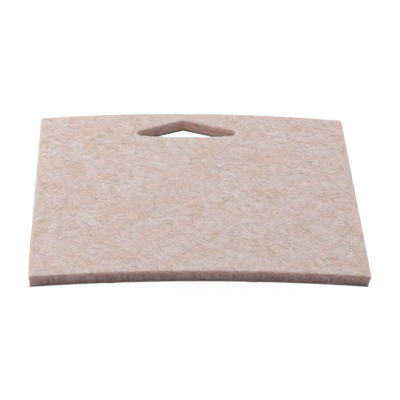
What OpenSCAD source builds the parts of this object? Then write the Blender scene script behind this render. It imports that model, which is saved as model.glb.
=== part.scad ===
// Felt furniture slider: a die-cut slab of needle-punched felt on a double-sided tape,
// lying felt side up on its release liner, with a roof-shaped hang hole near the back edge.
// Millimetres. X runs along the width, Y from front to back, Z up. The origin is under the
// middle of the pad, on the surface that the liner's side edges rest on.

/* [Pad] */
// Width across the felt face, from side edge to side edge
pad_w = 152; // [110:1:220]
// Depth, from front edge to back edge
pad_d = 108; // [70:1:160]
// Thickness of the felt
felt_t = 6.4; // [3:0.1:12]
// Radius of its four corners
corner_r = 0.5; // [0.2:0.1:10]
// Height of the arch that the sheet has curled into, from its side edges to its middle
arch_rise = 3.7; // [1:0.1:12]

/* [Tape and liner] */
// Thickness of the adhesive coat that holds the felt
felt_coat_t = 0.1; // [0.05:0.01:0.3]
// Thickness of the tissue that carries both adhesive coats
tissue_t = 0.08; // [0.04:0.01:0.2]
// Thickness of the adhesive coat that sticks to the furniture
mount_coat_t = 0.1; // [0.05:0.01:0.3]
// Clearance between that coat and the release liner
peel_gap = 0.05; // [0.02:0.01:0.2]
// Thickness of the release liner
liner_t = 0.15; // [0.05:0.01:0.4]

/* [Hang hole] */
// Width of the hole, from end to end
hole_w = 48.3; // [30:0.1:70]
// Depth of the hole, from the middle of its front edge to its point
hole_d = 12.3; // [8:0.1:20]
// How far its front edge bows forward, from the ends to the middle
hole_bow = 1.5; // [0.5:0.1:3]
// Radius of its two round ends
hole_end_r = 1.7; // [1:0.1:3.5]
// Radius of its point
hole_point_r = 0.6; // [0.5:0.1:3]
// Felt left between the point and the pad's back edge
hole_margin = 5.5; // [4:0.1:20]
// How far the hole's middle lies to the left of the pad's middle
hole_shift = 3.5; // [0:0.1:10]
// How far the point lies to the left of the hole's middle
point_shift = 1.4; // [0:0.1:5]

/* [Hidden] */

// Facets in a full turn of the arch and of a corner's round, and in each of the hole's four arcs
arch_facets = 1440;
corner_facets = 48;
arc_steps = 8;
// How far the cutters run past the stack, and a corner's round past the two edges that it joins
cut_over = 2;
corner_lap = 0.01;

// The sheet is bent about one line below it, so every layer's faces share that line as their axis.
// The radii run from the felt face down to the liner's underside.
r_felt_face = (pow(pad_w / 2, 2) + pow(arch_rise, 2)) / (2 * arch_rise);
r_felt_back = r_felt_face - felt_t;
r_tissue_top = r_felt_back - felt_coat_t;
r_tissue_low = r_tissue_top - tissue_t;
r_coat_low = r_tissue_low - mount_coat_t;
r_liner_top = r_coat_low - peel_gap;
r_liner_low = r_liner_top - liner_t;
stack_t = r_felt_face - r_liner_low;
half_angle = asin(pad_w / 2 / r_felt_face);
// Depth of the bending axis below the surface, where the liner's side edges touch it
axis_depth = r_liner_low * cos(half_angle);
stack_h = r_felt_face - axis_depth;

// The hole's outline is four arcs: its left end, its bowed front edge, its right end and its point.
// The front edge's circle touches both ends from outside, and straight sides join the ends to the point.
hole_back = pad_d / 2 - hole_margin;
hole_front = hole_back - hole_d;
end_x = hole_w / 2 - hole_end_r;
end_y = hole_bow + hole_end_r;
front_r = (pow(end_x, 2) + pow(end_y, 2) - pow(hole_end_r, 2)) / (2 * hole_bow);
left_centre = [-hole_shift - end_x, hole_front + end_y];
right_centre = [-hole_shift + end_x, hole_front + end_y];
front_centre = [-hole_shift, hole_front + front_r];
point_centre = [-hole_shift - point_shift, hole_back - hole_point_r];
front_half_angle = asin(end_x / (front_r - hole_end_r));
right_end_angle = tangent_angle(right_centre, point_centre, hole_end_r, hole_point_r);
left_start_angle = 360 + tangent_angle(point_centre, left_centre, hole_point_r, hole_end_r);

// Direction, in degrees, from a circle's centre to where its tangent to the next circle leaves it
function tangent_angle(from, to, from_r, to_r) =
    let (apart = to - from)
    atan2(apart[1], apart[0]) - acos((from_r - to_r) / norm(apart));

// Points along an arc, from one angle to another; skip leaves out its first points
function arc_points(centre, r, from, to, skip = 0) = [
    for (step = [skip : arc_steps])
        let (angle = from + (to - from) * step / arc_steps)
        centre + r * [cos(angle), sin(angle)]
];

module hang_hole() {
    polygon(concat(
        arc_points(left_centre, hole_end_r, left_start_angle, 270 - front_half_angle),
        arc_points(front_centre, front_r, 270 - front_half_angle, 270 + front_half_angle, 1),
        arc_points(right_centre, hole_end_r, 270 + front_half_angle, 360 + right_end_angle, 1),
        arc_points(point_centre, hole_point_r, right_end_angle, left_start_angle)
    ));
}

// What is trimmed off the right back corner, standing along the bent sheet's radius there
module corner_waste() {
    translate([0, 0, -axis_depth])
        rotate([0, half_angle, 0])
            translate([corner_lap - corner_r, pad_d / 2 + corner_lap - corner_r, r_liner_low - cut_over])
                difference() {
                    cube([corner_r + cut_over, corner_r + cut_over, stack_t + 2 * cut_over]);
                    cylinder(r = corner_r, h = stack_t + 2 * cut_over, $fn = corner_facets);
                }
}

// One layer of the bent sheet between two radii, with round corners and the hang hole through it
module layer(r_low, r_high) {
    difference() {
        translate([0, 0, -axis_depth])
            rotate([90, 0, 0])
                rotate([0, 0, 90 - half_angle])
                    rotate_extrude(angle = 2 * half_angle, $fn = arch_facets)
                        translate([r_low, -pad_d / 2])
                            square([r_high - r_low, pad_d]);
        for (flip_x = [0, 1], flip_y = [0, 1])
            mirror([flip_x, 0, 0])
                mirror([0, flip_y, 0])
                    corner_waste();
        translate([0, 0, -cut_over])
            linear_extrude(height = stack_h + 2 * cut_over)
                hang_hole();
    }
}

module felt_pad() {
    color([0.81, 0.74, 0.71])
        layer(r_felt_back, r_felt_face);
}

module felt_side_adhesive() {
    color([0.58, 0.54, 0.50])
        layer(r_tissue_top, r_felt_back);
}

module carrier_tissue() {
    color([0.67, 0.64, 0.60])
        layer(r_tissue_low, r_tissue_top);
}

module mounting_adhesive() {
    color([0.58, 0.54, 0.50])
        layer(r_coat_low, r_tissue_low);
}

module release_liner() {
    color([0.93, 0.92, 0.89])
        layer(r_liner_low, r_liner_top);
}

felt_pad();
felt_side_adhesive();
carrier_tissue();
mounting_adhesive();
release_liner();
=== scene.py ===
"""Looks of the felt furniture slider: the felt as a fibrous slab, its tape and its release liner."""
import math

import bmesh
import bpy
import numpy as np
from mathutils import Matrix, Vector, noise
from mathutils.bvhtree import BVHTree


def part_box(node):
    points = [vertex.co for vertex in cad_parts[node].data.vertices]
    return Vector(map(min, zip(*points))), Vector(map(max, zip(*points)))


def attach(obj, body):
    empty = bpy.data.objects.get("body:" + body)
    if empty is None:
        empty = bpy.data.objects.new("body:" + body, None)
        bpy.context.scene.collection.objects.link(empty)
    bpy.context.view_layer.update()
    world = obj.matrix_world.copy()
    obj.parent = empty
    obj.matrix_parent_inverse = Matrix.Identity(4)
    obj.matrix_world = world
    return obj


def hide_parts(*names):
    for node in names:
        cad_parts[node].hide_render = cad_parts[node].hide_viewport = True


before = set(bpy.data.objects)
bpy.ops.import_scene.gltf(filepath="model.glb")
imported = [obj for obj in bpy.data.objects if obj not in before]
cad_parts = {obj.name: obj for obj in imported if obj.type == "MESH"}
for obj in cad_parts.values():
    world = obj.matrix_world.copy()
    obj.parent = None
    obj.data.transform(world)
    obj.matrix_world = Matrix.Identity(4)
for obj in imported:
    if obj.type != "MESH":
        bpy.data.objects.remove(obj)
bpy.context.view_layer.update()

MM = 0.001

# The felt solid's corners, the rise of its arch, and its depth from face to underside
felt_low, felt_high = (Vector(corner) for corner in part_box("felt_pad"))
ARCH_RISE = 3.7 * MM
FELT_DEPTH = felt_high.z - ARCH_RISE - felt_low.z

# The felt's grid, and its upper edges, rubbed soft in passes that smooth all ways, then in height alone
FELT_PITCH = 0.62 * MM
SOFT_DEPTH = 4.5 * MM
SOFT_PASSES = 1
ROUND_PASSES = 11
SMOOTH_FACTOR = 0.5

# Nap and lumps all over the felt, and a rougher nap and a waver on its cut walls
NAP_HEIGHT = 0.045 * MM
NAP_SIZE = 0.9 * MM
LUMP_HEIGHT = 0.012 * MM
LUMP_SIZE = 6 * MM
CUT_NAP_HEIGHT = 0.05 * MM
CUT_WAVER = 0.07 * MM
CUT_WAVER_SIZE = 5 * MM

# The left front corner, rubbed in: how far, over what reach, how it eases out, and its share at the foot
TUCK_DEPTH = 0.6 * MM
TUCK_REACH = 13 * MM
TUCK_EASE = 1.5
TUCK_FOOT = 0.3

# Low bulges along the foot of the front and back walls, and the level of noise at which they are full
RAG_DEPTH = 0.56 * MM
RAG_SIZE = 9 * MM
RAG_FULL = 0.4

# One seed for each pattern of noise, and how far apart two seeds' patterns lie
NAP_SEED, LUMP_SEED, WAVER_SEED, CUT_NAP_SEED, RAG_SEED = range(1, 6)
SEED_STEP = (17.3, 5.1, -9.7)

# How wide the outer rim is, and how far from its corners the painted shade fades, leaving a painted
# highlight
RIM_WIDTH = 5 * MM
LEFT_HIGHLIGHT_REACH = 3.3 * MM
RIGHT_HIGHLIGHT_REACH = 1.6 * MM

# Painted shade on the hang hole's walls and painted light at their foot, and the share of the felt's
# depth where the foot starts
HOLE_PAINTED_SHADE = 0.155
HOLE_FOOT_PAINTED_LIGHT = -0.3
HOLE_FOOT = 0.62

# A wall's normal has less Z than this
WALL_SLOPE = 0.5

# A soft edge's normal has less Z than the first, and turns to wall as Z falls by the second
EDGE_SLOPE = 0.70
EDGE_FADE = 0.5

# Fibres lie where a normal has more Z than this
BARE_SLOPE = -0.3

# A foot that bulges has normals with more Z than the first, and more Y either way than the second
FOOT_SLOPE = -0.8
FOOT_FACING = 0.3

# A fibre's steps along its length, and its points across: left side, ridge and right side
FIBRE_STEPS = 3
FIBRE_RAILS = 3

# Loose fibres that lie on the felt's face and walls, thin ones more often than thick ones
FIBRE_SEED = 11
FIBRE_COUNT = 16000
FIBRE_LENGTHS = (1.5 * MM, 5.5 * MM)
FIBRE_RADII = (0.03 * MM, 0.12 * MM)
FIBRE_SKEW = 3
FIBRE_TIP = 0.4
FIBRE_LIFTS = (0.02 * MM, 0.07 * MM)
FIBRE_SINK = 0.02 * MM
FIBRE_CURL = 0.22

# On the walls: how much fibres rise as they run along, and their number as a share of the face's
WALL_RISE = 0.35
WALL_FIBRES = 0.3

# The step between neighbouring fibres in the blend of colours, and the margin in each one's bake cell
GOLDEN_SHARE = (math.sqrt(5) - 1) / 2
BAKE_MARGIN = 0.2

# The way most fibres lie in the face, measured from +X, their spread, and the way their bundles lie
LIE = math.radians(-19)
LIE_SPREAD = math.radians(46)
BUNDLE_LIE = math.radians(-12)

# Felt colours, linear: cooler and warmer patches, faint hints over them, and the cut walls' painted shade
# tints, warm, then greyer where deep
FELT_COOL = (0.623, 0.545, 0.530, 1)
FELT_WARM = (0.607, 0.466, 0.391, 1)
FELT_PINK = (1.026, 0.990, 1.026, 1)
FELT_GREEN = (0.975, 1.010, 0.975, 1)
WALL_SHADE_WARM = (1.00, 0.88, 0.86, 1)
WALL_SHADE_DEEP = (1.00, 0.98, 1.10, 1)

# The fibres' colours, each with the share of the blend at which it starts
FIBRE_COLOURS = [
    (0.00, (0.84, 0.78, 0.75, 1)),
    (0.32, (0.66, 0.55, 0.50, 1)),
    (0.58, (0.60, 0.46, 0.38, 1)),
    (0.74, (0.58, 0.52, 0.52, 1)),
    (0.90, (0.44, 0.36, 0.32, 1)),
]

# Painted light on a cut wall at its lightest beside the face, and what is lost as painted shade goes from
# low to high
WALL_PAINTED_LIGHT = 1.17
PAINTED_SHADE_LOSSES = [
    (-0.3, 0.3, 0.18),
    (0.0, 1.0, 0.66),
    (0.82, 1.0, 0.16),
]

# The painted shade over which a wall's tint turns greyer, and over which score marks take the place of
# webs
DEEP_SHADE_SPAN = (0.3, 1.0)
SCORE_SHADE_SPAN = (0.2, 0.35)

# Lengths and widths of the felt's patches, bundles and streaks of fibre, in millimetres
PATCH_SIZE = (7.8, 7.2)
BUNDLE_SIZE = (12.0, 4.5)
STREAK_SIZE = (3.6, 0.5)
STREAK_LAYERS = 5

# How closely hints, webs in the hang hole and score marks on the outer walls follow, per millimetre
HINT_SCALE = 0.22
WEB_SCALE = (0.24, 0.24, 1.1)
SCORE_SCALE = (0.8, 0.8, 0.25)

# Spans of noise that are spread over a whole range of tones
WIDE_SPAN = (0.25, 0.75)
MID_SPAN = (0.3, 0.7)
CORE_SPAN = (0.35, 0.65)

# Tones of webs and bundles, then the grain's strength and the fibres' own colour on face and wall
WEB_TONES = (0.22, 0.78)
BUNDLE_TONES = (0.99, 1.01)
MID_GRAIN = 0.5
GRAIN_STRENGTHS = (1.35, 1.4)
FIBRE_SHARES = (0.75, 0.25)

# Tape and liner: the two tones that each varies between, and the paper's gloss
PAPER_TONES = ((0.80, 0.77, 0.70, 1), (0.86, 0.84, 0.79, 1))
ADHESIVE_TONES = ((0.17, 0.145, 0.125, 1), (0.23, 0.20, 0.175, 1))
TISSUE_TONES = ((0.36, 0.32, 0.28, 1), (0.46, 0.42, 0.37, 1))
PAPER_GLOSS = (0.32, 0.45)

# The tissue's fibres: the way they lie, in radians from +X, and their length and width in millimetres
TISSUE_LIE = 0.3
TISSUE_SIZE = (3.0, 0.3)

# The floor: its reach in metres, its colours for bounced light and for shadow, and its glow
FLOOR_REACH = 6.0
FLOOR_DIM = (0.35, 0.34, 0.34, 1)
FLOOR_PALE = (0.95, 0.95, 0.95, 1)
FLOOR_GLOW = 1.03

# The share of shadow in what the camera sees of the floor
FLOOR_SHADOW = 0.06

# Studio light: the world's level, and each lamp's name, place and side in metres, watts and colour
WHITE = (1, 1, 1, 1)
WORLD_LEVEL = 0.25
LAMPS = [
    ("key", (-0.15, 0.6, 0.64), 0.6, 6.2, (1, 1, 1)),
    ("left", (-1.2, -0.15, 0.45), 0.8, 9.3, (1, 1, 1)),
    ("right", (1.2, 0.0, 0.25), 0.5, 6.1, (1, 1, 1)),
    ("front", (0.0, -1.0, 0.45), 0.5, 2.0, (1.0, 0.74, 0.75)),
]

# Camera of the photograph, fitted to the pad's corners and arch
IMAGE_SIDE = 400
FOCAL_PIXELS = 1193.2
SENSOR_WIDTH = 36
CAMERA_NEAR = 10 * MM
CAMERA_PLACE = Vector((-31.1, -409.7, 392.2)) * MM
CAMERA_YAW = math.radians(4.61)
CAMERA_PITCH = math.radians(43.52)
CAMERA_ROLL = math.radians(-3.42)


class Nodes:
    """The node tree of a material or of the world, built one node at a time."""

    # Where a Mix node takes two numbers and two colours, and where it gives the mixed colour
    NUMBERS = (2, 3)
    COLOURS = (6, 7)
    MIXED_COLOUR = 2

    def __init__(self, tree):
        self.tree = tree
        tree.nodes.clear()

    def add(self, kind, inputs, output=0, **settings):
        """Makes a node, sets or links its inputs by name or number, and returns one of its outputs."""
        node = self.tree.nodes.new(kind)
        for name, value in settings.items():
            setattr(node, name, value)
        for key, value in inputs.items():
            if isinstance(value, bpy.types.NodeSocket):
                self.tree.links.new(value, node.inputs[key])
            else:
                node.inputs[key].default_value = value
        return node.outputs[output] if len(node.outputs) else None

    def math(self, operation, a, b):
        return self.add("ShaderNodeMath", {0: a, 1: b}, operation=operation)

    def blend(self, factor, a, b):
        """A number between two numbers."""
        inputs = {"Factor": factor, self.NUMBERS[0]: a, self.NUMBERS[1]: b}
        return self.add("ShaderNodeMix", inputs, data_type="FLOAT")

    def mix(self, factor, a, b, kind="MIX"):
        """A colour between two colours."""
        inputs = {"Factor": factor, self.COLOURS[0]: a, self.COLOURS[1]: b}
        return self.add("ShaderNodeMix", inputs, self.MIXED_COLOUR, data_type="RGBA", blend_type=kind)

    def times(self, a, b):
        """One colour times another."""
        return self.mix(1.0, a, b, kind="MULTIPLY")

    def grey(self, level):
        return self.add("ShaderNodeCombineColor", {0: level, 1: level, 2: level})

    def ramp(self, value, low, high, low_out=0.0, high_out=1.0):
        """A value's place between low and high, as a number between low_out and high_out."""
        span = {"Value": value, "From Min": low, "From Max": high, "To Min": low_out, "To Max": high_out}
        return self.add("ShaderNodeMapRange", span)

    def attribute(self, name):
        return self.add("ShaderNodeAttribute", {}, output="Fac", attribute_name=name)

    def noise(self, vector, scale=1.0, detail=2.0, roughness=0.5, distortion=0.0):
        values = {"Vector": vector, "Scale": scale, "Detail": detail}
        values.update({"Roughness": roughness, "Distortion": distortion})
        return self.add("ShaderNodeTexNoise", values)

    def millimetres(self):
        """The object's own coordinates, in millimetres."""
        place = self.add("ShaderNodeTexCoord", {}, output="Object")
        return self.add("ShaderNodeVectorMath", {0: place, 1: (1 / MM,) * 3}, operation="MULTIPLY")

    def scaled(self, vector, scale):
        return self.add("ShaderNodeMapping", {"Vector": vector, "Scale": scale})

    def stretched(self, vector, angle, length, width):
        """Coordinates for streaks of the given length and width that lie at an angle in the XY plane."""
        drawn = {"Vector": vector, "Rotation": (0, 0, angle), "Scale": (length, width, width)}
        return self.add("ShaderNodeMapping", drawn, vector_type="TEXTURE")

    def bump(self, height, strength, distance):
        return self.add("ShaderNodeBump", {"Height": height, "Strength": strength, "Distance": distance})

    def seen(self):
        """1 where the camera sees a surface, also in gloss or through glass, and 0 elsewhere."""
        path = self.tree.nodes.new("ShaderNodeLightPath").outputs
        direct = self.math("MAXIMUM", path["Is Camera Ray"], path["Is Glossy Ray"])
        return self.math("MAXIMUM", direct, path["Is Transmission Ray"])

    def principled(self, inputs):
        shader = self.add("ShaderNodeBsdfPrincipled", inputs)
        self.add("ShaderNodeOutputMaterial", {"Surface": shader})


def new_material(name):
    """A new material and its empty node tree."""
    material = bpy.data.materials.new(name)
    material.use_nodes = True
    return material, Nodes(material.node_tree)


def add_object(name, data):
    """A new object in the scene."""
    new = bpy.data.objects.new(name, data)
    bpy.context.scene.collection.objects.link(new)
    return new


def felt_hue_and_painted_shade(nodes, place):
    """The felt's patchy colour, with painted shade on its cut walls: redder, and darker and greyer where
    it is deep.
    """
    wall = nodes.attribute("wall")
    painted_shade = nodes.attribute("painted_shade")
    patch = nodes.noise(nodes.stretched(place, BUNDLE_LIE, *PATCH_SIZE), detail=1.5, distortion=0.3)
    hue = nodes.mix(nodes.ramp(patch, *MID_SPAN), FELT_COOL, FELT_WARM)
    hint = nodes.noise(place, scale=HINT_SCALE, detail=1.0)
    hue = nodes.times(hue, nodes.mix(nodes.ramp(hint, *CORE_SPAN), FELT_PINK, FELT_GREEN))
    # Painted shade on the cut walls: redder near the top, darker and greyer towards the underside
    light = WALL_PAINTED_LIGHT
    for low, high, loss in PAINTED_SHADE_LOSSES:
        light = nodes.math("SUBTRACT", light, nodes.ramp(painted_shade, low, high, 0.0, loss))
    shade_tint = nodes.mix(nodes.ramp(painted_shade, *DEEP_SHADE_SPAN), WALL_SHADE_WARM, WALL_SHADE_DEEP)
    cut = nodes.times(nodes.times(hue, shade_tint), nodes.grey(light))
    return nodes.mix(wall, hue, cut), wall, painted_shade


def felt_material():
    """Felt with crossing streaks on its face, score marks on its outer walls and webs in the hole."""
    material, nodes = new_material("felt")
    place = nodes.millimetres()
    hue, wall, painted_shade = felt_hue_and_painted_shade(nodes, place)
    streaks = 0.0
    for turn in range(STREAK_LAYERS):
        angle = LIE + LIE_SPREAD * (2 * turn / (STREAK_LAYERS - 1) - 1)
        layer = nodes.noise(nodes.stretched(place, angle, *STREAK_SIZE), detail=1.5, distortion=0.6)
        streaks = nodes.math("ADD", streaks, layer)
    streaks = nodes.math("DIVIDE", streaks, STREAK_LAYERS)
    webs = nodes.noise(nodes.scaled(place, WEB_SCALE), detail=1.5)
    scores = nodes.noise(nodes.scaled(place, SCORE_SCALE), roughness=0.6)
    cut = nodes.blend(nodes.ramp(painted_shade, *SCORE_SHADE_SPAN), nodes.ramp(webs, *WIDE_SPAN, *WEB_TONES), scores)
    grain = nodes.blend(wall, streaks, cut)
    shade = nodes.math("SUBTRACT", grain, MID_GRAIN)
    shade = nodes.math("MULTIPLY", shade, nodes.blend(wall, *GRAIN_STRENGTHS))
    bundles = nodes.noise(nodes.stretched(place, BUNDLE_LIE, *BUNDLE_SIZE), detail=1.0)
    shade = nodes.math("ADD", shade, nodes.ramp(bundles, *MID_SPAN, *BUNDLE_TONES))
    nodes.principled({
        "Base Color": nodes.times(hue, nodes.grey(shade)), "Roughness": 0.95, "Specular IOR Level": 0.1,
        "Sheen Weight": 0.1, "Sheen Roughness": 0.5,
        "Normal": nodes.bump(grain, strength=0.5, distance=0.3 * MM),
    })
    return material


def fibre_material():
    """Single fibres: each has its own colour of the blend, mixed with the felt's colour around it,
    painted shade included.
    """
    material, nodes = new_material("felt_fibre")
    hue, wall, _ = felt_hue_and_painted_shade(nodes, nodes.millimetres())
    own = nodes.add("ShaderNodeValToRGB", {"Fac": nodes.attribute("pick")})
    ramp = own.node.color_ramp
    ramp.interpolation = "CONSTANT"
    ready = len(ramp.elements)
    for number, (start, colour) in enumerate(FIBRE_COLOURS):
        stop = ramp.elements[number] if number < ready else ramp.elements.new(start)
        stop.position = start
        stop.color = colour
    nodes.principled({
        "Base Color": nodes.mix(nodes.blend(wall, *FIBRE_SHARES), hue, own), "Roughness": 0.8,
        "Specular IOR Level": 0.2, "Sheen Weight": 0.1, "Sheen Roughness": 0.5,
    })
    return material


def paper_material():
    """The liner's siliconised paper: cloudy, with a soft gloss and a fine tooth."""
    material, nodes = new_material("liner_paper")
    place = nodes.millimetres()
    cloud = nodes.noise(place, scale=0.6, detail=4.0, roughness=0.6)
    speck = nodes.noise(place, scale=4.0)
    nodes.principled({
        "Base Color": nodes.mix(nodes.ramp(cloud, *MID_SPAN), *PAPER_TONES),
        "Roughness": nodes.ramp(cloud, *MID_SPAN, *PAPER_GLOSS),
        "Normal": nodes.bump(speck, strength=0.2, distance=0.05 * MM),
    })
    return material


def adhesive_material():
    """The tape's glossy adhesive, with flow marks."""
    material, nodes = new_material("tape_adhesive")
    flow = nodes.noise(nodes.millimetres(), scale=0.5, detail=3.0, distortion=0.6)
    nodes.principled({
        "Base Color": nodes.mix(nodes.ramp(flow, *MID_SPAN), *ADHESIVE_TONES), "Roughness": 0.18,
        "Normal": nodes.bump(flow, strength=0.3, distance=0.2 * MM),
    })
    return material


def tissue_material():
    """The tape's tissue, with long fibres in it."""
    material, nodes = new_material("tape_tissue")
    drawn = nodes.stretched(nodes.millimetres(), TISSUE_LIE, *TISSUE_SIZE)
    fibres = nodes.noise(drawn, detail=3.0, distortion=1.0)
    colour = nodes.mix(nodes.ramp(fibres, *CORE_SPAN), *TISSUE_TONES)
    nodes.principled({"Base Color": colour, "Roughness": 0.8})
    return material


def smooth_noise(point, size, seed):
    """Smooth noise between about -1 and 1 that changes over the given size."""
    return noise.noise(point / size + Vector([step * seed for step in SEED_STEP]))


def arch_drop(x):
    """How far the arched pad lies lower at x than in its middle."""
    return ARCH_RISE * (x / felt_high.x) ** 2


def edge_gaps(point):
    """How far a point lies in from the pad's nearer side edge, and from its nearer front or back edge."""
    return felt_high.x - abs(point.x), felt_high.y - abs(point.y)


def on_rim(point):
    """Whether a point lies near the pad's outline, rather than further in or by the hang hole."""
    return min(edge_gaps(point)) < RIM_WIDTH


def wall_share(normal):
    """1 on a cut wall, 0 on the face, and between the two on a soft edge."""
    return min(1.0, max(0.0, (EDGE_SLOPE - abs(normal.z)) / EDGE_FADE))


def painted_shade_share(point):
    """How much painted shade a cut wall gets: up to 1 at the underside, less by the corners and in the
    hang hole.

    The foot of the hang hole's walls goes below 0, which is painted light, lighter than a wall with no
    painted shade.
    """
    depth = (felt_high.z - arch_drop(point.x) - point.z) / FELT_DEPTH
    # In the hang hole: painted shade on the walls, turning to painted light at their foot
    if not on_rim(point):
        foot = max(0.0, depth - HOLE_FOOT) / (1 - HOLE_FOOT)
        return HOLE_PAINTED_SHADE + (HOLE_FOOT_PAINTED_LIGHT - HOLE_PAINTED_SHADE) * foot
    # Painted highlight: the painted shade fades out towards the upright corners, which are left lighter
    from_corner = max(edge_gaps(point))
    highlight_reach = LEFT_HIGHLIGHT_REACH if point.x < 0 else RIGHT_HIGHLIGHT_REACH
    return depth * (1 - math.exp(-((from_corner / highlight_reach) ** 2)))


def corner_tuck(point):
    """How far to the right the flat slab is rubbed in at a point by its left front corner."""
    inward = max(0.0, 1 - (point.x - felt_low.x) / TUCK_REACH)
    backward = max(0.0, 1 - (point.y - felt_low.y) / TUCK_REACH)
    upward = 1 - (felt_high.z - point.z) / FELT_DEPTH
    return TUCK_DEPTH * inward * backward ** TUCK_EASE * (TUCK_FOOT + (1 - TUCK_FOOT) * upward)


def lay_on_grid(felt):
    """Lays the arched solid flat and gives it a fine, even mesh."""
    for vertex in felt.data.vertices:
        vertex.co.z += arch_drop(vertex.co.x)
    remesh = felt.modifiers.new("grid", "REMESH")
    remesh.mode = "VOXEL"
    remesh.voxel_size = FELT_PITCH
    grid = felt.evaluated_get(bpy.context.evaluated_depsgraph_get())
    felt.data = bpy.data.meshes.new_from_object(grid)
    felt.data.name = "felt_slab"
    felt.modifiers.clear()


def soften_and_bend(mesh):
    """Rubs the flat slab's upper edges soft and its left front corner in, then bends it to its arch."""
    builder = bmesh.new()
    builder.from_mesh(mesh)
    upper = [v for v in builder.verts if felt_high.z - v.co.z < SOFT_DEPTH]
    for sideways, passes in ((True, SOFT_PASSES), (False, ROUND_PASSES)):
        axes = {"use_axis_x": sideways, "use_axis_y": sideways, "use_axis_z": True}
        for _ in range(passes):
            bmesh.ops.smooth_vert(builder, verts=upper, factor=SMOOTH_FACTOR, **axes)
    for vertex in builder.verts:
        vertex.co.x += corner_tuck(vertex.co)
        vertex.co.z -= arch_drop(vertex.co.x)
    builder.normal_update()
    builder.to_mesh(mesh)
    builder.free()


def shape_nap(mesh):
    """Raises nap, lumps and the bulging foot, and marks the walls and their painted shade for the
    material.
    """
    wall = mesh.attributes.new("wall", "FLOAT", "POINT")
    painted_shade = mesh.attributes.new("painted_shade", "FLOAT", "POINT")
    normals = [vertex.normal.copy() for vertex in mesh.vertices]
    for vertex, normal in zip(mesh.vertices, normals):
        point = vertex.co.copy()
        side = wall_share(normal)
        wall.data[vertex.index].value = side
        painted_shade.data[vertex.index].value = painted_shade_share(point)
        if normal.z > -WALL_SLOPE:
            rise = NAP_HEIGHT * smooth_noise(point, NAP_SIZE, NAP_SEED)
            rise += LUMP_HEIGHT * smooth_noise(point, LUMP_SIZE, LUMP_SEED)
            rise += side * CUT_NAP_HEIGHT * smooth_noise(point, NAP_SIZE, CUT_NAP_SEED)
            rise += side * CUT_WAVER * smooth_noise(point, CUT_WAVER_SIZE, WAVER_SEED)
            vertex.co = point + normal * rise
        elif normal.z > FOOT_SLOPE and abs(normal.y) > FOOT_FACING and on_rim(point):
            rag = min(1.0, max(0.0, smooth_noise(point, RAG_SIZE, RAG_SEED) / RAG_FULL))
            vertex.co = point + normal * RAG_DEPTH * rag


def make_felt():
    """The felt slab: the CAD solid on a fine grid, with soft edges, a worn corner and foot, and a nap."""
    felt = add_object("felt_slab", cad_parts["felt_pad"].data.copy())
    lay_on_grid(felt)
    soften_and_bend(felt.data)
    shape_nap(felt.data)
    felt.data.shade_smooth()
    felt.data.materials.clear()
    felt.data.materials.append(felt_material())
    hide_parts("felt_pad")
    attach(felt, "pad")
    return felt


def fibre_roots(mesh, count, rng):
    """Points spread evenly over the felt's face and walls: (place, normal) pairs in the mesh's order."""
    mesh.calc_loop_triangles()
    triangles = mesh.loop_triangles
    corners = np.empty(len(triangles) * 3, int)
    triangles.foreach_get("vertices", corners)
    places = np.empty(len(mesh.vertices) * 3)
    mesh.vertices.foreach_get("co", places)
    a, b, c = places.reshape(-1, 3)[corners.reshape(-1, 3)].transpose(1, 0, 2)
    across = np.cross(b - a, c - a)
    area = np.linalg.norm(across, axis=1)
    weight = area * np.where(across[:, 2] < WALL_SLOPE * area, WALL_FIBRES, 1.0)
    weight[across[:, 2] < BARE_SLOPE * area] = 0
    reach = np.cumsum(weight)
    chosen = np.searchsorted(reach, reach[-1] * (np.arange(count) + rng.random(count)) / count)
    u, v = rng.random((2, count, 1))
    fold = u + v > 1
    u, v = np.where(fold, 1 - u, u), np.where(fold, 1 - v, v)
    roots = a[chosen] + u * (b - a)[chosen] + v * (c - a)[chosen]
    return zip(map(Vector, roots), map(Vector, across[chosen] / area[chosen, None]))


def crawl(surface, place, normal, length, rng):
    """A fibre's path over the felt, as (place, normal) pairs that follow its surface from a root."""
    turn = rng.normal(LIE, LIE_SPREAD)
    heading = Vector((math.cos(turn), math.sin(turn), 0)) * math.copysign(1, rng.uniform(-1, 1))
    if abs(normal.z) < WALL_SLOPE:
        heading = Vector(rng.normal(0, (1, 1, WALL_RISE)))
    bend = rng.normal(0, FIBRE_CURL)
    path = [(place, normal)]
    for _ in range(FIBRE_STEPS):
        heading.rotate(Matrix.Rotation(bend + rng.normal(0, FIBRE_CURL / 2), 3, normal))
        heading = (heading - normal * heading.dot(normal)).normalized()
        place, normal, _, _ = surface.find_nearest(place + heading * length / FIBRE_STEPS)
        path.append((place, normal))
    return path


def strand(path, radius, lift):
    """A fibre's left side, ridge and right side at each step of a path, sunk in at both ends."""
    points = []
    for step, (place, up) in enumerate(path):
        ahead = path[min(step + 1, FIBRE_STEPS)][0] - path[max(step - 1, 0)][0]
        side = ahead.cross(up).normalized()
        along = step / FIBRE_STEPS
        arch = 4 * along * (1 - along)
        centre = place + up * (lift * arch - FIBRE_SINK)
        girth = radius * (FIBRE_TIP + (1 - FIBRE_TIP) * arch)
        points += [centre - side * girth, centre + up * girth, centre + side * girth]
    return points


def add_bake_map(mesh):
    """Gives each fibre a small square of its own in a UV map for baking colours to."""
    cells = math.ceil(math.sqrt(FIBRE_COUNT))
    fibre = np.repeat(np.arange(FIBRE_COUNT), len(mesh.polygons) // FIBRE_COUNT)
    corner = np.stack([fibre % cells, fibre // cells], axis=1)
    low, high = BAKE_MARGIN, 1 - BAKE_MARGIN
    square = np.array([(low, low), (high, low), (high, high), (low, high)])
    places = (corner[:, None, :] + square[None]) / cells
    mesh.uv_layers.new(name="OFBake").data.foreach_set("uv", places.astype(np.float32).ravel())


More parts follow.
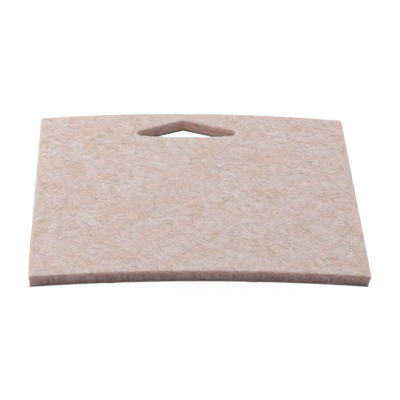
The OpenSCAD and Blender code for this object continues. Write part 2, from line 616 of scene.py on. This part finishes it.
def make_fibres(felt):
    """Loose fibres of the felt: slim ridged strands that lie on its face and walls."""
    rng = np.random.default_rng(FIBRE_SEED)
    points = [v.co for v in felt.data.vertices]
    surface = BVHTree.FromPolygons(points, [p.vertices for p in felt.data.polygons])
    thin, thick = FIBRE_RADII
    verts = []
    faces = []
    marks = []
    for number, (root, normal) in enumerate(fibre_roots(felt.data, FIBRE_COUNT, rng)):
        path = crawl(surface, root, normal, rng.uniform(*FIBRE_LENGTHS), rng)
        radius = thin + (thick - thin) * rng.random() ** FIBRE_SKEW
        lift = rng.uniform(*FIBRE_LIFTS)
        first = len(verts)
        verts += strand(path, radius, lift)
        for step in range(FIBRE_STEPS):
            for rail in range(FIBRE_RAILS - 1):
                near = first + FIBRE_RAILS * step + rail
                far = near + FIBRE_RAILS
                faces.append((near, near + 1, far + 1, far))
        # Each fibre keeps its root's wall mark and painted shade, and its own pick of the blend
        marks.append((wall_share(normal), painted_shade_share(root), number * GOLDEN_SHARE % 1))
    mesh = bpy.data.meshes.new("felt_fibres")
    mesh.from_pydata(verts, [], faces)
    for name, values in zip(("wall", "painted_shade", "pick"), zip(*marks)):
        values = np.repeat(values, len(verts) // FIBRE_COUNT)
        mesh.attributes.new(name, "FLOAT", "POINT").data.foreach_set("value", values)
    add_bake_map(mesh)
    mesh.shade_smooth()
    mesh.materials.append(fibre_material())
    fibres = add_object("felt_fibres", mesh)
    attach(fibres, "pad")


def dress(node, material):
    """Gives a CAD node its material."""
    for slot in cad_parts[node].material_slots:
        slot.material = material


def make_floor():
    """A floor that the camera sees as white with a faint shadow, and that throws little light back."""
    mesh = bpy.data.meshes.new("floor")
    builder = bmesh.new()
    bmesh.ops.create_grid(builder, x_segments=1, y_segments=1, size=FLOOR_REACH)
    builder.to_mesh(mesh)
    builder.free()
    material, nodes = new_material("floor")
    dim = nodes.add("ShaderNodeBsdfDiffuse", {"Color": FLOOR_DIM})
    pale = nodes.add("ShaderNodeBsdfDiffuse", {"Color": FLOOR_PALE})
    glow = nodes.add("ShaderNodeEmission", {"Color": WHITE, "Strength": FLOOR_GLOW})
    shown = nodes.add("ShaderNodeMixShader", {0: FLOOR_SHADOW, 1: glow, 2: pale})
    both = nodes.add("ShaderNodeMixShader", {0: nodes.seen(), 1: dim, 2: shown})
    nodes.add("ShaderNodeOutputMaterial", {"Surface": both})
    mesh.materials.append(material)
    floor = add_object("floor", mesh)


def make_world():
    """A world that the camera sees as white, and that lights the object softly."""
    world = bpy.data.worlds.new("studio")
    world.use_nodes = True
    bpy.context.scene.world = world
    nodes = Nodes(world.node_tree)
    level = nodes.blend(nodes.seen(), WORLD_LEVEL, 1.0)
    back = nodes.add("ShaderNodeBackground", {"Color": WHITE, "Strength": level})
    nodes.add("ShaderNodeOutputWorld", {"Surface": back})


def make_lamp(name, place, side, power, colour):
    """A square soft light that faces the pad."""
    lamp = bpy.data.lights.new(name, "AREA")
    lamp.size = side
    lamp.energy = power
    lamp.color = colour
    light = add_object(name, lamp)
    light.location = place
    light.rotation_euler = (-light.location).to_track_quat("-Z", "Y").to_euler()


def make_camera():
    """The photograph's camera: it looks along +Y, turned by its yaw, pitch and roll."""
    forward = Vector((
        math.sin(CAMERA_YAW) * math.cos(CAMERA_PITCH),
        math.cos(CAMERA_YAW) * math.cos(CAMERA_PITCH),
        -math.sin(CAMERA_PITCH),
    ))
    level_right = Vector((math.cos(CAMERA_YAW), -math.sin(CAMERA_YAW), 0))
    level_down = forward.cross(level_right)
    right = level_right * math.cos(CAMERA_ROLL) + level_down * math.sin(CAMERA_ROLL)
    down = level_down * math.cos(CAMERA_ROLL) - level_right * math.sin(CAMERA_ROLL)
    camera = add_object("camera", bpy.data.cameras.new("camera"))
    camera.data.sensor_width = SENSOR_WIDTH
    camera.data.lens = FOCAL_PIXELS / IMAGE_SIDE * SENSOR_WIDTH
    camera.data.clip_start = CAMERA_NEAR
    turn = Matrix((right, -down, -forward)).transposed().to_4x4()
    camera.matrix_world = Matrix.Translation(CAMERA_PLACE) @ turn
    bpy.context.scene.camera = camera


bpy.context.scene.view_settings.view_transform = "Standard"
make_fibres(make_felt())
adhesive = adhesive_material()
dress("felt_side_adhesive", adhesive)
dress("carrier_tissue", tissue_material())
dress("mounting_adhesive", adhesive)
dress("release_liner", paper_material())
make_floor()
make_world()
for lamp_values in LAMPS:
    make_lamp(*lamp_values)
make_camera()
